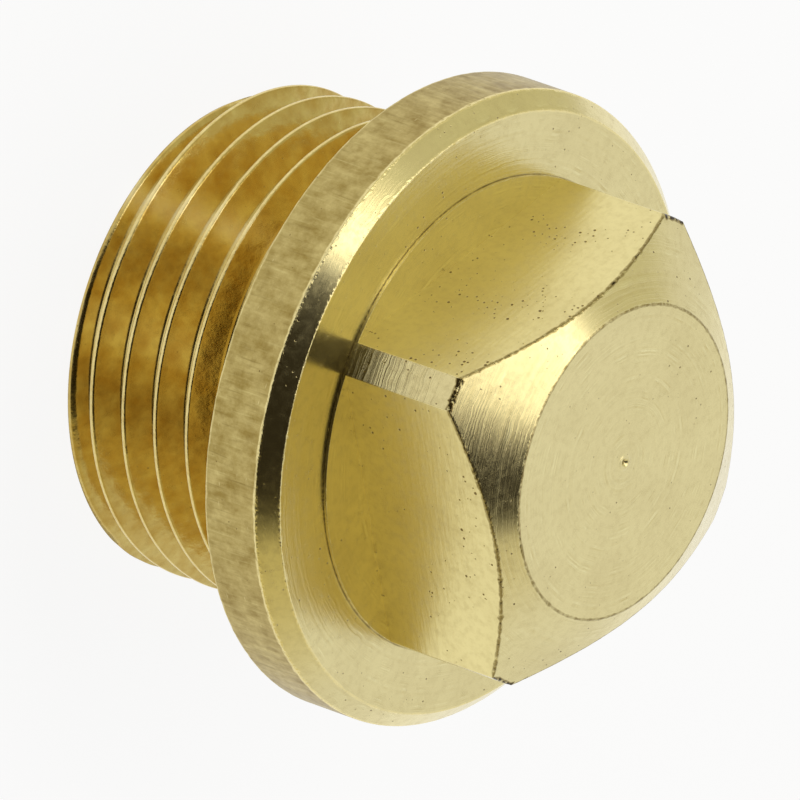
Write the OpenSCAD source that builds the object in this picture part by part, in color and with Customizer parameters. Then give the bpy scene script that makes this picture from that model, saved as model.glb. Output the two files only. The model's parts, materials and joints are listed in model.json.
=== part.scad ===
// Square head screw plug: one piece of brass, turned from round bar.
// The bar's own surface is left on the flange. The head is turned to a
// round blank with a coned end, then milled to a square, which leaves a
// narrow turned strip on each corner and a thin round ledge on the flange.
// Z = 0 is the sealing face under the flange, and +Z leads out of the head.

/* [Square head] */
// Width across two opposite flats, the spanner size
square_af = 12; // [9:0.1:14]
// Diameter of the turned blank, left standing on the four corners
corner_d = 15.9; // [14.2:0.1:18]
// Height of the head above the flange
head_h = 5.9; // [4.5:0.1:12]
// Diameter of the flat round end of the head, inside the cone
end_face_d = 10.5; // [8:0.1:13]
// Slope of the cone, measured from the flat end
cone_angle = 29; // [15:1:40]
// Height of the round ledge that the milling cutter leaves on the flange
ledge_h = 0.13; // [0.05:0.01:0.6]

/* [Flange] */
// Outside diameter, the diameter of the bar
flange_d = 21.3; // [20:0.1:28]
// Thickness from the sealing face to the front face
flange_t = 2.65; // [1.5:0.05:5]
// Chamfer on the front edge, at 45 degrees
flange_chamfer = 0.57; // [0.2:0.01:0.8]

/* [Thread] */
// Major diameter, over the crests
thread_d = 16.45; // [15.8:0.01:17.6]
// Depth of the thread, from crest to root
thread_depth = 0.75; // [0.5:0.01:1]
// Length from the sealing face to the end of the plug
thread_len = 8.55; // [6:0.05:16]
// Axial length of the chamfer at the end of the thread
lead_len = 0.65; // [0.3:0.05:1.2]
// How far the end chamfer and the relief go below the root
root_clearance = 0.15; // [0.05:0.01:0.3]
// Width of the relief neck under the flange, at its bottom
relief_w = 2.1; // [1.5:0.05:3]
// Slope of the relief's flank, measured from the axis
relief_angle = 60; // [30:1:75]

/* [Hidden] */
$fn = 180;

head_top = flange_t + head_h;
thread_end = -thread_len;
thread_r = thread_d / 2;
neck_r = thread_r - thread_depth - root_clearance;
relief_flank = (thread_r - neck_r) / tan(relief_angle);
cone_drop = (corner_d - end_face_d) / 2 * tan(cone_angle);
// The cutter that mills one flat reaches past the blank on every open side
cutter_margin = 1;

// Half section of the plug as it leaves the lathe
module turned_blank() {
  rotate_extrude()
    polygon([
      [0, thread_end],
      [neck_r, thread_end],
      [thread_r, thread_end + lead_len],
      [thread_r, -relief_w - relief_flank],
      [neck_r, -relief_w],
      [neck_r, 0],
      [flange_d / 2, 0],
      [flange_d / 2, flange_t - flange_chamfer],
      [flange_d / 2 - flange_chamfer, flange_t],
      [corner_d / 2, flange_t],
      [corner_d / 2, head_top - cone_drop],
      [end_face_d / 2, head_top],
      [0, head_top],
    ]);
}

// What the milling cutter takes off beside the four flats, down to the ledge
module milled_sides() {
  cutter_w = corner_d + 2 * cutter_margin;
  for (turn = [0 : 90 : 270])
    rotate(turn)
      translate([square_af / 2, -cutter_w / 2, flange_t + ledge_h])
        cube([cutter_w / 2, cutter_w, head_h + cutter_margin]);
}

module plug() {
  color("#cdb96e")
    difference() {
      turned_blank();
      milled_sides();
    }
}

plug();
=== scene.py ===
"""Looks of a square head screw plug, machined from one piece of brass bar."""
import json
import math

import bpy
import numpy as np
from mathutils import Matrix, Vector


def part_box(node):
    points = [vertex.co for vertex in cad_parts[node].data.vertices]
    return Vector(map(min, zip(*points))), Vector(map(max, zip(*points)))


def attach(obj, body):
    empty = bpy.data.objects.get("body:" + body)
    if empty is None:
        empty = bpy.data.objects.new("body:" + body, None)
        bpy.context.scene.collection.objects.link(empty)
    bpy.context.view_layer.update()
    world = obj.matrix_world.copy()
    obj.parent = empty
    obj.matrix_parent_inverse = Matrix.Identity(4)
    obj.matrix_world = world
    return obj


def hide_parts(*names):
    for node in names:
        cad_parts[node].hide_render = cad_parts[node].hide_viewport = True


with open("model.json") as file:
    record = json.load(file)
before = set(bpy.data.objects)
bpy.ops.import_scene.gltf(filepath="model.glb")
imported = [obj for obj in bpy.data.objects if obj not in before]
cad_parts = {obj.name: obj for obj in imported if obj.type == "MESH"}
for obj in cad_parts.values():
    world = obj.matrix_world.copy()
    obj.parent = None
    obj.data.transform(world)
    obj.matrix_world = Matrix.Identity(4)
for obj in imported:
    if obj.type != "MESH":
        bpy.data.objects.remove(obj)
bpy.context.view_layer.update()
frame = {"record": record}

# Sizes in millimetres, in the frame of the part: Z = 0 is the sealing face under the flange
MM = 0.001
mounts = {mount["name"]: mount for mount in frame["record"]["mounts"]}
low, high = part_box("plug")
FLANGE_R = high[0] / MM
HEAD_TOP = high[2] / MM
THREAD_END = low[2] / MM
FLAT = mounts["drive_flat_a"]["pos_m"][0] / MM
THREAD_R = mounts["thread"]["dims"]["r_mm"]

FLANGE_T = 2.65
FLANGE_CHAMFER = 0.57
LEDGE_H = 0.13
CORNER_R = 7.95
END_FACE_R = 5.25
CONE_ANGLE = math.radians(29)
NECK_R = 7.325
RELIEF_W = 2.1
RELIEF_ANGLE = math.radians(60)
LEAD_LEN = 0.65

# The thread: Whitworth form, 19 threads an inch, right-handed
PITCH = 1.337
ROOT_R = 7.34
CREST_W = 0.14
HALF_FLANK_ANGLE = math.radians(27.5)
# Height of a crest over the corner that faces the camera, which lies at -45 degrees
CREST_Z = -7.0
CREST_ANGLE = math.radians(-45)

# How much the tools and handling have broken each edge
EDGE_BREAK = 0.04
STRIP_BREAK = 0.04
CREST_ROUND = 0.08
ROOT_ROUND = 0.12
# Width of the painted shade in a sharp inner corner
CORNER_SHADE = 0.06
# Painted glint along the thread's crests, and the skin that the blank leaves on the head's corners
CREST_GLINT = -0.4
CORNER_SKIN = 0.2
# Painted reflections round the thread: bands of painted shade above 0 and painted glints below 0, with the
# bands towards the back added so that the thread is banded all round: angle, spread, strength
THREAD_PAINTED_REFLECTIONS = [
    (-52, 8, 0.2), (-15, 9, 0.3), (-66, 4, -0.4), (-33, 7, -0.1),
    (52, 10, 0.15), (95, 12, 0.2), (165, 9, 0.25), (205, 8, 0.2),
]
# Distance between the cells that can hold a pit
PIT_SPACE = 0.17

# Zones of the surface, in the order of the piece's material slots
TURNED, MILLED, DRAWN, CUT = range(4)
# The head's side, which is milled on the flats and turned on the corners
HEAD_SIDE = -1


def ragged(angle, seed, waves=(9, 160), count=40):
    """Uneven line round the axis, from -1 to 1: a sum of cosines of whole wave numbers with drawn phases."""
    draw = np.random.default_rng(seed)
    wave = draw.integers(waves[0], waves[1], count)
    phase = draw.uniform(0, 2 * np.pi, count)
    line = np.cos(np.outer(angle, wave) + phase).sum(axis=1)
    return line / np.abs(line).max()


def banded(angle, bands):
    """Sum of bell curves round the axis, each with its middle and spread in degrees and its strength."""
    middle, spread, strength = np.array(bands).T
    apart = (np.degrees(angle)[:, None] - middle + 180) % 360 - 180
    return (strength * np.exp(-((apart / spread) ** 2))).sum(axis=1)


def head_outline(flat_steps=72, round_steps=5, strip_steps=10):
    """Cross-section of the square head as one angle and radius for each column of the surface.

    A quarter is the straight flat, a small round that touches both the flat and the turned circle, the
    arc of that circle over the corner, and the same round mirrored into the next flat. Four quarters
    close the outline.
    """
    round_x = FLAT - STRIP_BREAK
    round_y = math.sqrt((CORNER_R - STRIP_BREAK) ** 2 - round_x ** 2)
    arc_start = math.atan2(round_y, round_x)
    flat_angle = np.linspace(-1, 1, flat_steps) * math.atan2(round_y, FLAT)
    flat = np.stack([np.full(flat_steps, FLAT), FLAT * np.tan(flat_angle)], axis=1)
    turn = np.linspace(0, arc_start, round_steps + 1)[1:]
    small_round = STRIP_BREAK * np.stack([np.cos(turn), np.sin(turn)], axis=1) + [round_x, round_y]
    sweep = np.linspace(arc_start, np.pi / 2 - arc_start, strip_steps + 1)[1:-1]
    strip = CORNER_R * np.stack([np.cos(sweep), np.sin(sweep)], axis=1)
    quarter = np.concatenate([flat, small_round, strip, small_round[::-1, ::-1]])
    angle = np.arctan2(quarter[:, 1], quarter[:, 0])
    angle = np.concatenate([angle + step * np.pi / 2 for step in range(4)])
    return angle, np.tile(np.hypot(quarter[:, 0], quarter[:, 1]), 4)


def broken_edge(before, corner, after, size, steps=4):
    """Rows of section points that carry a side round an edge.

    The edge is a quadratic curve that leaves one side a short length before the corner and joins the
    other as far past it. A row outside each end bounds the darkening or the painted glint. No length passes
    0.4 of its side. With no steps the edge stays sharp, and the rows beside it only bound its darkening.
    """
    sides = [before - corner, after - corner]
    lengths = [np.linalg.norm(side, axis=1)[:, None] for side in sides]
    units = [side / np.maximum(length, 1e-9) for side, length in zip(sides, lengths)]
    reach = [np.minimum(np.reshape(size, (-1, 1)), 0.4 * length) for length in lengths]
    start, end = (corner + unit * far for unit, far in zip(units, reach))
    if not steps:
        return np.stack([start, corner, end])
    t = np.linspace(0, 1, steps + 1)[:, None, None]
    curve = (1 - t) ** 2 * start + 2 * t * (1 - t) * corner + t ** 2 * end
    hold = [
        corner + unit * np.minimum(2.6 * far, 0.48 * length)
        for unit, far, length in zip(units, reach, lengths)
    ]
    return np.concatenate([hold[:1], curve, hold[1:]])


def turned_rows(angle, head_radius):
    """Rows of the surface from the middle of the head's end down to the relief neck.

    Each row has a radius and a height for every column: the corners of the turned section in order, each
    with its broken or sharp edge, where the head's side is the smaller of the flat and the turned corner.
    Returns the rows, the darkening or painted glint on each row, whether each row is sharp, and the zone of
    the band under each row.
    """
    columns = len(angle)
    on_strip = np.isclose(head_radius, CORNER_R)

    def point(radius, height):
        return np.stack(np.broadcast_arrays(np.zeros(columns) + radius, height), axis=1)

    cone_end = HEAD_TOP - (head_radius - END_FACE_R) * math.tan(CONE_ANGLE)
    ledge = FLANGE_T + LEDGE_H
    rough = EDGE_BREAK * (1 + 0.7 * ragged(angle, 11))
    fine = EDGE_BREAK * (0.7 + 0.4 * ragged(angle, 12))
    cone_edge = rough * np.where(on_strip, 1.6, 1)
    edge_strength = 0.85 + 0.3 * ragged(angle, 13, (3, 60))
    # Corner, size of its edge or minus that for a sharp one, darkening above 0 or painted glint below 0,
    # next zone
    corners = [
        (point(END_FACE_R, HEAD_TOP), fine, 0.6 * edge_strength, TURNED),
        (point(head_radius, cone_end), cone_edge, np.where(on_strip, 1.6, 0.9 * edge_strength), HEAD_SIDE),
        (point(head_radius, ledge), -CORNER_SHADE, 0.0, TURNED),
        (point(CORNER_R, ledge), fine * 0.25, 0.3 * edge_strength, TURNED),
        # Painted shade in the inner corner at the ledge's foot
        (point(CORNER_R, FLANGE_T), -CORNER_SHADE, 0.7 * edge_strength, TURNED),
        # Painted glints along the chamfer's edges and the flange's rim
        (point(FLANGE_R - FLANGE_CHAMFER, FLANGE_T), fine, -0.7 * edge_strength, TURNED),
        (point(FLANGE_R, FLANGE_T - FLANGE_CHAMFER), rough, -0.8 * edge_strength, DRAWN),
        (point(FLANGE_R, 0), rough, -0.5 * edge_strength, CUT),
        # Painted shade in the inner corner under the flange
        (point(NECK_R, 0), -CORNER_SHADE, 0.6, CUT),
        (point(NECK_R, -RELIEF_W), -CORNER_SHADE, 0.0, CUT),
    ]
    # The facing tool leaves a small pit with a raised rim on the axis, both bell-shaped
    pip_r = np.array([0, 0.05, 0.1, 0.15, 0.19, 0.23, 0.27, 0.33, 0.45])
    pit = 0.06 * np.exp(-((pip_r / 0.09) ** 2))
    rim = 0.045 * np.exp(-(((pip_r - 0.19) / 0.08) ** 2))
    rows = [point(r, z)[None] for r, z in zip(pip_r, HEAD_TOP - pit + rim)]
    # The middle of the pit is darker
    darkening_and_glint = [np.full(columns, 0.6 * (r < 0.08)) for r in pip_r]
    sharp = [False] * len(pip_r)
    zones = [TURNED] * len(pip_r)
    sides = [point(0, HEAD_TOP)] + [corner[0] for corner in corners]
    for step, (corner, size, darkening, zone) in enumerate(corners[:-1]):
        is_sharp = np.all(np.less(size, 0))
        edge = broken_edge(sides[step], corner, sides[step + 2], np.abs(size), 0 if is_sharp else 4)
        inner = len(edge) - 2
        rows.append(edge)
        darkening_and_glint += [np.zeros(columns)] + [np.zeros(columns) + darkening] * inner + [np.zeros(columns)]
        sharp += [False] + [is_sharp] * inner + [False]
        zones += [zones[-1]] * (len(edge) // 2) + [zone] * (len(edge) - len(edge) // 2)
    rows.append(corners[-1][0][None])
    darkening_and_glint.append(np.zeros(columns))
    sharp.append(True)
    return np.concatenate(rows), np.array(darkening_and_glint), sharp, zones


def thread_section():
    """One pitch of the thread from crest to crest: distance below the crest's middle, and radius.

    Straight flanks stand at the half flank angle. The crest's two edges and the root's two corners are
    rounded. Also returns the painted glint at each point, which lies along the crest.
    """
    flank = (THREAD_R - ROOT_R) * math.tan(HALF_FLANK_ANGLE)
    half = CREST_W / 2
    stops = [-half, half, half + flank, PITCH - half - flank, PITCH - half, PITCH + half]
    radii = [THREAD_R, THREAD_R, ROOT_R, ROOT_R, THREAD_R, THREAD_R]
    corner = [np.array([[stop, radius]]) for stop, radius in zip(stops, radii)]
    sizes = [CREST_ROUND, ROOT_ROUND, ROOT_ROUND, CREST_ROUND]
    edges = [broken_edge(*corner[i:i + 3], size, 5)[1:-1, 0] for i, size in enumerate(sizes)]
    along = np.linspace(0, 1, 4)[1:-1, None]
    down = edges[0][-1] + along * (edges[1][0] - edges[0][-1])
    up = edges[2][-1] + along * (edges[3][0] - edges[2][-1])
    crest = np.array([[0, THREAD_R]])
    section = np.concatenate([crest, edges[0], down, edges[1], edges[2], up, edges[3]])
    # A painted glint lies along the top of the crest
    painted_glint = np.where(section[:, 1] > THREAD_R - CREST_ROUND / 4, CREST_GLINT, 0)
    return section, painted_glint


def thread_rows(angle):
    """Rows of the threaded shank, each following the helix.

    A point's height is its row's height plus one pitch for each turn of its angle, cut off at the relief
    neck and at the end face. Its radius is the thread section's, limited by the relief's flank and by the
    cone of the lead. Going round once, a row meets the row one pitch above it, so the surface closes with
    that many rows of offset.
    """
    section, painted_glint = thread_section()
    per_pitch = len(section)
    top, bottom = -RELIEF_W, THREAD_END
    turn = (angle - angle[0]) / (2 * np.pi)
    crest = CREST_Z - PITCH * (CREST_ANGLE - angle[0]) / (2 * np.pi)
    above = math.ceil((top - crest) / PITCH)
    count = above + math.ceil((crest - bottom) / PITCH) + 2
    height = crest + PITCH * above - (PITCH * np.arange(count)[:, None] + section[None, :, 0]).ravel()
    z = np.clip(height[:, None] + PITCH * turn[None], bottom, top)
    relief = NECK_R + (top - z) * math.tan(RELIEF_ANGLE)
    lead = NECK_R + (z - bottom) * (THREAD_R - NECK_R) / LEAD_LEN
    radius = np.minimum(np.tile(section[:, 1], count)[:, None], np.minimum(relief, lead))
    return np.stack([radius, z], axis=2), np.tile(painted_glint, count), per_pitch


def bands(first, second):
    """Four-sided faces between two rings of vertex numbers, wound to face outwards going down the part."""
    return np.stack([first, second, np.roll(second, -1, axis=-1), np.roll(first, -1, axis=-1)], axis=-1)


def plug_surface():
    """The whole plug as one closed surface: columns of fixed angle, rows down the section.

    The rows are the turned head and flange, the helical shank and the end face. Points that fall together
    are made one, faces that lose all their area are dropped and those that lose one side become triangles.
    """
    angle, head_radius = head_outline()
    columns = len(angle)
    turned, turned_darkening_and_glint, turned_sharp, turned_zones = turned_rows(angle, head_radius)
    shank, shank_painted_glint, per_pitch = thread_rows(angle)
    middle = np.tile([0.0, THREAD_END], (1, columns, 1))
    section = np.concatenate([turned, shank, middle])
    shank_painted_glint = np.tile(np.append(shank_painted_glint, 0)[:, None], columns)
    darkening_and_glint = np.concatenate([turned_darkening_and_glint, shank_painted_glint])
    sharp = np.tile(np.append(turned_sharp, np.zeros(len(shank) + 1, bool))[:, None], columns)
    sharp |= np.isclose(section[..., 0], NECK_R) & np.isclose(section[..., 1], THREAD_END)
    # Painted reflection bands round the thread share one point attribute with the real skin on the head's
    # corners
    shank_painted_reflections = np.tile(banded(angle, THREAD_PAINTED_REFLECTIONS), (len(shank) + 1, 1))
    on_corner = np.isclose(head_radius, CORNER_R) & np.isclose(turned[..., 0], CORNER_R)
    skin_and_painted_reflection = np.concatenate([np.where(on_corner, CORNER_SKIN, 0), shank_painted_reflections])
    across = [section[..., 0] * np.cos(angle), section[..., 0] * np.sin(angle), section[..., 1]]
    points = np.stack(across, axis=2).reshape(-1, 3)
    number = np.arange(len(points)).reshape(len(section), columns)

    first, last = len(turned), len(turned) + len(shank) - 1
    quads = bands(number[:-1], number[1:])
    # In the shank the last column joins the first one pitch of rows higher up
    seam = quads[first:last, -1]
    partner = np.clip(np.arange(first, last) - per_pitch, first, last - 1)
    seam[:, 2] = number[partner + 1, 0]
    seam[:, 3] = number[partner, 0]
    zone = np.array(turned_zones + [CUT] * (len(quads) - len(turned_zones) - 1) + [TURNED])
    on_flat = np.isclose(head_radius * np.cos((angle + np.pi / 4) % (np.pi / 2) - np.pi / 4), FLAT)
    side_zone = np.where(on_flat, MILLED, TURNED)
    zone_of = np.where(zone[:, None] == HEAD_SIDE, side_zone, zone[:, None])

    unique, index, back = np.unique(np.round(points, 6), axis=0, return_index=True, return_inverse=True)
    quads = back.ravel()[quads.reshape(-1, 4)]
    zone_of = zone_of.ravel()
    same = quads == np.roll(quads, -1, axis=1)
    whole = same.sum(axis=1) == 0
    single = (same.sum(axis=1) == 1) & (quads[:, 0] != quads[:, 2]) & (quads[:, 1] != quads[:, 3])
    triangles = quads[single][~same[single]].reshape(-1, 3)
    zones = np.concatenate([zone_of[whole], zone_of[single]])
    looks = {"darkening_and_glint": darkening_and_glint.ravel()[index], "skin_and_painted_reflection": skin_and_painted_reflection.ravel()[index]}
    return unique * MM, quads[whole], triangles, zones, sharp.ravel()[index], looks


def make_piece(name, points, quads, triangles, zones, sharp, looks):
    """Puts the arrays of one closed surface into a mesh object.

    It is smooth but for the edges between two sharp points, and its looks are point attributes.
    """
    mesh = bpy.data.meshes.new(name)
    corners = np.concatenate([quads.ravel(), triangles.ravel()]).astype(np.int32)
    sizes = np.concatenate([np.full(len(quads), 4), np.full(len(triangles), 3)]).astype(np.int32)
    starts = np.concatenate([[0], np.cumsum(sizes)[:-1]]).astype(np.int32)
    mesh.vertices.add(len(points))
    mesh.vertices.foreach_set("co", points.astype(np.float32).ravel())
    mesh.loops.add(len(corners))
    mesh.loops.foreach_set("vertex_index", corners)
    mesh.polygons.add(len(sizes))
    mesh.polygons.foreach_set("loop_start", starts)
    mesh.polygons.foreach_set("material_index", zones.astype(np.int32))
    mesh.polygons.foreach_set("use_smooth", np.ones(len(sizes), bool))
    for look, values in looks.items():
        mesh.attributes.new(look, "FLOAT", "POINT").data.foreach_set("value", values.astype(np.float32))
    mesh.update(calc_edges=True)
    ends = np.empty(2 * len(mesh.edges), np.int32)
    mesh.edges.foreach_get("vertices", ends)
    creased = sharp[ends.reshape(-1, 2)].all(axis=1)
    mesh.attributes.new("sharp_edge", "BOOLEAN", "EDGE").data.foreach_set("value", creased)
    mesh.validate()
    piece = bpy.data.objects.new(name, mesh)
    bpy.context.collection.objects.link(piece)
    return piece


def linear(hex_colour):
    """An sRGB hex value as a linear colour with full alpha."""
    parts = [int(hex_colour[i:i + 2], 16) / 255 for i in (1, 3, 5)]
    return [p / 12.92 if p <= 0.04045 else ((p + 0.055) / 1.055) ** 2.4 for p in parts] + [1.0]


def add(tree, kind, inputs=None, **settings):
    """Adds a node: settings are its own properties, inputs are values or the sockets that feed it."""
    made = tree.nodes.new(kind)
    for name, value in settings.items():
        setattr(made, name, value)
    for socket, value in (inputs or {}).items():
        if isinstance(value, bpy.types.NodeSocket):
            tree.links.new(value, made.inputs[socket])
        else:
            made.inputs[socket].default_value = value
    return made


def maths(tree, operation, *values):
    """Result of one operation on numbers or sockets."""
    return add(tree, "ShaderNodeMath", dict(enumerate(values)), operation=operation).outputs[0]


def ramp(tree, value, start, end, least=0.0, most=1.0, kind="LINEAR"):
    """Goes from least to most as the value goes from start to end, and stays there outside."""
    limits = {"Value": value, "From Min": start, "From Max": end, "To Min": least, "To Max": most}
    return add(tree, "ShaderNodeMapRange", limits, interpolation_type=kind).outputs[0]


def blend(tree, cover, under, over):
    """One colour laid over another, as far as the cover says from 0 to 1."""
    return add(tree, "ShaderNodeMix", {0: cover, 6: under, 7: over}, data_type="RGBA").outputs[2]


def noise(tree, place, scale, detail, roughness=0.5):
    """Noise with the given number of lumps to a unit of its place."""
    inputs = {"Vector": place, "Scale": scale, "Detail": detail, "Roughness": roughness}
    return add(tree, "ShaderNodeTexNoise", inputs).outputs["Fac"]


def stretched(tree, place, scale):
    """The place with each axis scaled on its own, so that noise draws out along the smallest."""
    return add(tree, "ShaderNodeMapping", {"Vector": place, "Scale": scale}).outputs[0]


def attribute(tree, name):
    """One of the piece's point attributes."""
    return add(tree, "ShaderNodeAttribute", attribute_name=name).outputs["Fac"]


def new_material(name):
    """An empty material's node tree, its shader, and a position in millimetres on the piece."""
    material = bpy.data.materials.new(name)
    material.use_nodes = True
    tree = material.node_tree
    tree.nodes.clear()
    shader = add(tree, "ShaderNodeBsdfPrincipled", {"Metallic": 1.0})
    output = add(tree, "ShaderNodeOutputMaterial")
    tree.links.new(shader.outputs["BSDF"], output.inputs["Surface"])
    place = add(tree, "ShaderNodeTexCoord").outputs["Object"]
    place_mm = add(tree, "ShaderNodeVectorMath", {0: place, "Scale": 1 / MM}, operation="SCALE").outputs[0]
    return material, tree, shader, place_mm


def aged_with_painted_light(tree, place, clean, pit_mm=0.035, stain=0.12):
    """Clean brass with the corners' skin, painted bands of shade and glint, soft stains, grime and pits,
    darkened edges with painted shade in the inner corners, and painted glints on its edges.

    Returns the colour, the height of pits and nicks in millimetres, and the grime from 0 to 1.
    """
    cloud = noise(tree, place, 0.45, 4.0)
    stained = ramp(tree, cloud, 0.4, 0.75, most=stain)
    mottle = noise(tree, place, 3.5, 5.0, 0.65)
    grime = ramp(tree, mottle, 0.45, 0.75)
    film = maths(tree, "MULTIPLY", grime, 1.4 * stain)
    # Pits in a third of the cells, each of them larger where they cluster
    cells = add(tree, "ShaderNodeTexVoronoi", {"Vector": place, "Scale": 1 / PIT_SPACE})
    herd = ramp(tree, cloud, 0.3, 0.55)
    chance = ramp(tree, cells.outputs["Color"], 0.6, 0.9, most=pit_mm / PIT_SPACE)
    size = maths(tree, "MULTIPLY", chance, herd)
    inside = maths(tree, "SUBTRACT", size, cells.outputs["Distance"])
    pit = ramp(tree, inside, 0.0, 0.1, most=0.85)
    # The skin on the corners and the painted reflection bands round the thread, darker above 0 and brighter
    # below, fade in and out with the mottle
    broken = ramp(tree, mottle, 0.2, 0.6, least=0.5)
    patchy_skin_and_reflection = maths(tree, "MULTIPLY", attribute(tree, "skin_and_painted_reflection"), broken)
    # Darkening and painted glints on the edges are uneven over a tenth of a millimetre, the more so the
    # stronger they are
    grit = noise(tree, place, 7.0, 4.0)
    edge = attribute(tree, "darkening_and_glint")
    harm = maths(tree, "ABSOLUTE", edge)
    sway = maths(tree, "MULTIPLY_ADD", grit, 4.0, -2.0)
    uneven = maths(tree, "MULTIPLY_ADD", sway, harm, 0.9)
    edge_strength = maths(tree, "MULTIPLY", edge, uneven)
    # Colours laid on the brass from the bottom up: the corners' skin and painted shade bands, painted glint
    # bands, stains, grime, pits, two shades of edge darkening with painted shade in the inner corners,
    # painted glints
    skin_and_painted_shade = ramp(tree, patchy_skin_and_reflection, 0.0, 1.0)
    painted_glint_bands = ramp(tree, patchy_skin_and_reflection, 0.0, -1.0)
    brown_edge_line = ramp(tree, edge_strength, 0.05, 0.6, most=0.75)
    darkening = ramp(tree, edge_strength, 0.9, 1.4, most=0.95)
    painted_glint = ramp(tree, edge_strength, -0.1, -0.6, most=0.85)
    colour = clean
    for cover, tint in (
        (skin_and_painted_shade, "#6B4710"), (painted_glint_bands, "#FFF3C8"), (stained, "#8A6A22"), (film, "#7E6428"),
        (pit, "#5E4110"), (brown_edge_line, "#7A6428"), (darkening, "#2E2209"), (painted_glint, "#FBEBAA"),
    ):
        colour = blend(tree, cover, colour, linear(tint))
    pits = maths(tree, "MULTIPLY", pit, -0.008)
    # Nicks go as deep as the edge's darkening or glint is strong
    nick = maths(tree, "MULTIPLY", harm, sway)
    depth = maths(tree, "MULTIPLY_ADD", nick, 0.012, pits)
    return colour, depth, grime


def finish_brass(tree, shader, brass_with_painted_light, marks, mark_mm, roughness):
    """Links an aged colour with painted light, a roughness that grows with the grime, and a height of tool
    marks and pits.
    """
    colour, pits, grime = brass_with_painted_light
    height = maths(tree, "MULTIPLY_ADD", marks, mark_mm, pits)
    bump = add(tree, "ShaderNodeBump", {"Height": height, "Distance": MM, "Strength": 1.0})
    rough = ramp(tree, grime, 0.0, 1.0, roughness, roughness + 0.1)
    tree.links.new(bump.outputs["Normal"], shader.inputs["Normal"])
    tree.links.new(colour, shader.inputs["Base Color"])
    tree.links.new(rough, shader.inputs["Roughness"])


def turned_brass():
    """Free-machining brass off the lathe: fine rings of tool marks that draw the light out across them."""
    material, tree, shader, place = new_material("brass_turned")
    # Rings follow the distance from the axis on the end faces and the height on the corners
    level = {0: place, 1: (1, 1, 0)}
    flat_place = add(tree, "ShaderNodeVectorMath", level, operation="MULTIPLY").outputs[0]
    radius = add(tree, "ShaderNodeVectorMath", {0: flat_place}, operation="LENGTH").outputs["Value"]
    height = add(tree, "ShaderNodeSeparateXYZ", {0: place}).outputs["Z"]
    along = maths(tree, "MULTIPLY_ADD", height, 0.6, radius)
    # The tool chatters a little, so a ring wanders and fades as it goes round
    chatter = noise(tree, place, 1.5, 2.0)
    path = maths(tree, "MULTIPLY_ADD", chatter, 0.12, along)
    ring_inputs = {"W": path, "Scale": 9.0, "Detail": 4.0, "Roughness": 0.75}
    rings = add(tree, "ShaderNodeTexNoise", ring_inputs, noise_dimensions="1D").outputs["Fac"]
    # Some are faint: a ring shows where the chatter is strong
    tone = ramp(tree, rings, 0.3, 0.7)
    shown = ramp(tree, chatter, 0.5, 0.68, least=0.1)
    ringed = blend(tree, tone, linear("#DFCF92"), linear("#F8EEB6"))
    clean = blend(tree, shown, linear("#EDE0A6"), ringed)
    # The skin on the corners is turned more coarsely
    coarse = maths(tree, "MULTIPLY_ADD", attribute(tree, "skin_and_painted_reflection"), 10.0, 1.0)
    marks = maths(tree, "MULTIPLY", rings, coarse)
    brass = aged_with_painted_light(tree, place, clean, pit_mm=0.045, stain=0.1)
    finish_brass(tree, shader, brass, marks, 0.006, 0.2)
    return material


def milled_brass():
    """Brass flats cut by an end mill: satin from fine cross marks, with many small pits."""
    material, tree, shader, place = new_material("brass_milled")
    marks = noise(tree, stretched(tree, place, (1.0, 1.0, 7.0)), 1.0, 5.0)
    brass = aged_with_painted_light(tree, place, linear("#EFE1A0"), pit_mm=0.075, stain=0.12)
    finish_brass(tree, shader, brass, marks, 0.006, 0.3)
    return material


def drawn_brass():
    """The skin of the drawn bar, left on the flange: dull and patchy, with a few bright scratches."""
    material, tree, shader, place = new_material("brass_drawn_bar")
    marks = noise(tree, stretched(tree, place, (3.5, 3.5, 0.7)), 1.0, 5.0, 0.6)
    patch = noise(tree, place, 1.3, 6.0, 0.7)
    both = maths(tree, "MULTIPLY_ADD", marks, 0.6, patch)
    streak = ramp(tree, both, 0.6, 1.05)
    colour = blend(tree, streak, linear("#A08A4A"), linear("#D4C280"))
    # Bright and dark draw marks run along the axis, a ninth of a millimetre wide; scratches lie across
    for lie, start, end, most, tint in (
        ((9.0, 9.0, 0.6), 0.6, 0.8, 0.4, "#EADC98"),
        ((9.0, 9.0, 0.6), 0.4, 0.2, 0.45, "#75602A"),
        ((2.0, 2.0, 12.0), 0.7, 0.78, 0.6, "#F2E4A8"),
    ):
        laid = noise(tree, stretched(tree, place, lie), 1.0, 2.0)
        mark = ramp(tree, laid, start, end, most=most)
        colour = blend(tree, mark, colour, linear(tint))
    finish_brass(tree, shader, aged_with_painted_light(tree, place, colour, stain=0.15), marks, 0.012, 0.36)
    return material


def cut_brass():
    """Brass cut to a thread: bright flanks that mirror each other, with a base painted a deeper gold than
    the other brass as painted shade for those reflections.
    """
    material, tree, shader, place = new_material("brass_thread_cut_painted_deeper")
    waves = noise(tree, stretched(tree, place, (1.6, 1.6, 0.25)), 1.0, 4.0)
    band = ramp(tree, waves, 0.3, 0.7)
    # The thread's colours are painted a deeper gold than the turned brass, as painted shade in the grooves
    clean = blend(tree, band, linear("#C8A857"), linear("#DEC97E"))
    finish_brass(tree, shader, aged_with_painted_light(tree, place, clean, pit_mm=0.03, stain=0.1), waves, 0.03, 0.2)
    return material


plug = make_piece("plug_body", *plug_surface())
for make in (turned_brass, milled_brass, drawn_brass, cut_brass):
    plug.data.materials.append(make())
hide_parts("plug")
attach(plug, "root")

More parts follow.
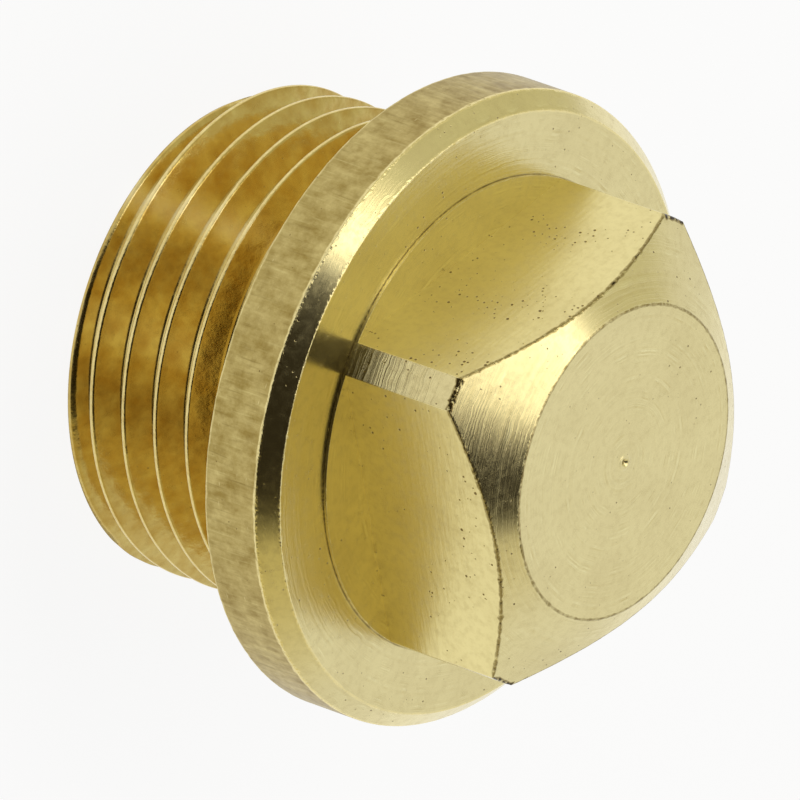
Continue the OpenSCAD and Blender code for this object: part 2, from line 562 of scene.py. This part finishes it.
# The camera stands as the photograph's did: nearly along a corner of the square, rolled until the head
# points right
RIGHT = Vector((-0.62831, 0.13777, 0.76567))
UP = Vector((-0.5068, -0.81919, -0.26849))
TOWARD = Vector((0.59024, -0.55673, 0.58452))
PHOTO_SIZE = 800
SENSOR_MM = 36
LENS_MM = 1200
PIXELS_PER_MM = 31.118
# Pixel of the middle of the flange's front face
FACE_PIXEL = (482.61, 412.89)


def photo_camera():
    """Camera with square pixels and no shift, moved until the flange's middle falls on its pixel."""
    distance = LENS_MM * PHOTO_SIZE / SENSOR_MM / PIXELS_PER_MM
    across = (FACE_PIXEL[0] - PHOTO_SIZE / 2) / PIXELS_PER_MM
    down = (FACE_PIXEL[1] - PHOTO_SIZE / 2) / PIXELS_PER_MM
    place = Vector((0, 0, FLANGE_T)) - RIGHT * across + UP * down + TOWARD * distance
    camera = bpy.data.objects.new("camera", bpy.data.cameras.new("camera"))
    camera.data.sensor_width = SENSOR_MM
    camera.data.lens = LENS_MM
    camera.data.clip_end = 10
    turn = Matrix((RIGHT, UP, TOWARD)).transposed().to_4x4()
    camera.matrix_world = Matrix.Translation(place * MM) @ turn
    bpy.context.collection.objects.link(camera)
    bpy.context.scene.camera = camera


def light_tent():
    """World of a white light tent with a dark opening round the camera."""
    world = bpy.data.worlds.new("light_tent")
    world.use_nodes = True
    tree = world.node_tree
    tree.nodes.clear()
    output = add(tree, "ShaderNodeOutputWorld")
    way = add(tree, "ShaderNodeTexCoord").outputs["Generated"]
    ahead, side, rise, high_right, low_front = (
        add(tree, "ShaderNodeVectorMath", {0: way, 1: axis}, operation="DOT_PRODUCT").outputs["Value"]
        for axis in (TOWARD, RIGHT, UP, RIGHT * 0.5 + UP * 0.866, TOWARD * 0.5 - UP * 0.866)
    )
    # The opening is a dark room, bounded on a plane in front of the plug by x to the right and y up
    least_depth = 0.02
    depth = maths(tree, "MAXIMUM", ahead, least_depth)
    x = maths(tree, "DIVIDE", side, depth)
    y = maths(tree, "DIVIDE", rise, depth)
    lean = maths(tree, "MULTIPLY_ADD", x, 0.33, y)
    opening = maths(tree, "GREATER_THAN", ahead, least_depth)
    for value, start, end in ((x, -0.9, -0.5), (x, 2.3, 1.9), (lean, -1.6, -1.15), (y, 0.5, 0.2)):
        within = ramp(tree, value, start, end, kind="SMOOTHSTEP")
        opening = maths(tree, "MULTIPLY", opening, within)
    # The walls turn dimmer and warmer up on the right and down below
    high_side = ramp(tree, high_right, 0.65, 0.7, kind="SMOOTHSTEP")
    low_side = ramp(tree, low_front, 0.6, 1.0)
    colour = linear("#E8E8E8")
    for cover, tint in ((high_side, "#CFCCB4"), (low_side, "#CCC08A"), (opening, "#28231A")):
        colour = blend(tree, cover, colour, linear(tint))
    background = add(tree, "ShaderNodeBackground", {"Color": colour, "Strength": 1.0})
    tree.links.new(background.outputs[0], output.inputs["Surface"])
    bpy.context.scene.world = world


def softbox():
    """Softbox up and to the right of the camera, turned as its reflections in cone and chamfer show."""
    reach = 0.2
    radiance = 1.5
    middle = RIGHT * 0.7875 + UP * 0.242 + TOWARD * 0.657
    across = (RIGHT * 0.877 + UP * 0.4146 - TOWARD * 0.2424).normalized()
    along = (UP * 0.758 - RIGHT * 0.184 + TOWARD * 0.626).normalized()
    lamp = bpy.data.lights.new("softbox", "AREA")
    lamp.shape = "RECTANGLE"
    lamp.color = linear("#FFFAF2")[:3]
    lamp.size = 0.726 * reach
    lamp.size_y = 1.054 * reach
    lamp.energy = radiance * math.pi * lamp.size * lamp.size_y
    box = bpy.data.objects.new("softbox", lamp)
    turn = Matrix((across, along, across.cross(along))).transposed().to_4x4()
    box.matrix_world = Matrix.Translation(middle * reach) @ turn
    box.visible_camera = False
    bpy.context.collection.objects.link(box)


def studio_floor():
    """White table under the plug. It glows to white for camera and reflections, and keeps the shadow."""
    half = 0.5
    glow_share = 0.9
    # A hair below the end face, so that the two don't lie in one plane
    z = (THREAD_END - 0.02) * MM
    mesh = bpy.data.meshes.new("floor")
    corners = [(-half, -half, z), (half, -half, z), (half, half, z), (-half, half, z)]
    mesh.from_pydata(corners, [], [(0, 1, 2, 3)])
    floor = bpy.data.objects.new("floor", mesh)
    bpy.context.collection.objects.link(floor)
    material = bpy.data.materials.new("floor_white_card")
    material.use_nodes = True
    tree = material.node_tree
    tree.nodes.clear()
    output = add(tree, "ShaderNodeOutputMaterial")
    path = add(tree, "ShaderNodeLightPath")
    seen = path.outputs["Is Camera Ray"]
    for ray in ("Is Glossy Ray", "Is Transmission Ray"):
        seen = maths(tree, "MAXIMUM", seen, path.outputs[ray])
    share = maths(tree, "MULTIPLY", seen, glow_share)
    card = add(tree, "ShaderNodeBsdfDiffuse", {"Color": linear("#FFFFFF")})
    glow = add(tree, "ShaderNodeEmission", {"Color": linear("#FFFFFF"), "Strength": 1.0})
    both = add(tree, "ShaderNodeMixShader", {0: share, 1: card.outputs[0], 2: glow.outputs[0]})
    tree.links.new(both.outputs[0], output.inputs["Surface"])
    mesh.materials.append(material)


photo_camera()
light_tent()
softbox()
studio_floor()
bpy.context.scene.view_settings.view_transform = "Standard"
